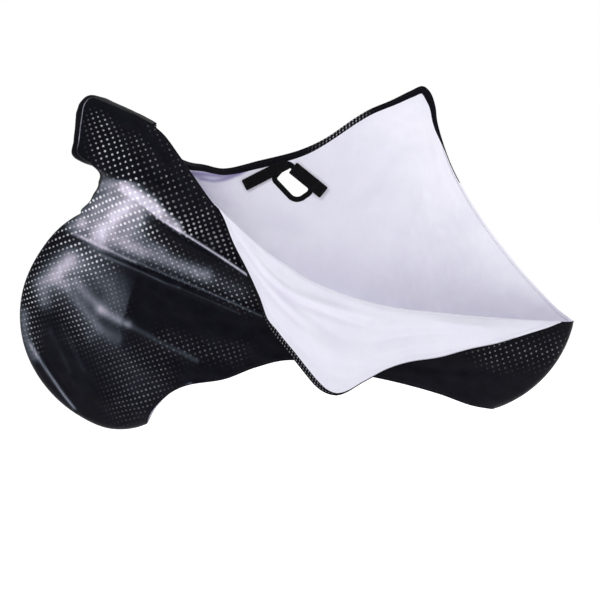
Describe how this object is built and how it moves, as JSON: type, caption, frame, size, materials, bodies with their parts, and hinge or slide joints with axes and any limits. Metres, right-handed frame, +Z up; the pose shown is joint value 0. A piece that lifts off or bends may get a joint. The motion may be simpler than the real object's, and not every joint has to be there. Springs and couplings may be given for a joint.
{
  "type": "bicycle cover",
  "caption": "Fitted stretch fabric cover for a bicycle, half opened, with wheel pockets, a handlebar pocket, a turned-down side flap and a bound clamp opening.",
  "frame": {"origin": "the inner side of the far panel's highest point, where the cover is hooked over what carries it", "axes": "+X along the cover from the handlebar pocket to the rear wheel pocket, +Y across it from the near side to the far side, +Z up"},
  "size_m": [1.6404, 0.4074, 1.0157],
  "materials": {
    "stretch_cloth": "satin stretch knit, near black with a white dot print outside and white inside",
    "plain_stretch_cloth": "plain satin black stretch knit",
    "black_trim": "matt black woven binding and webbing"
  },
  "bodies": {
    "root": {"near_panel": "stretch_cloth", "far_panel": "stretch_cloth", "head_gusset": "plain_stretch_cloth", "opening_binding": "black_trim", "tab_front": "black_trim", "tab_rear": "black_trim"}
  },
  "joints": []
}
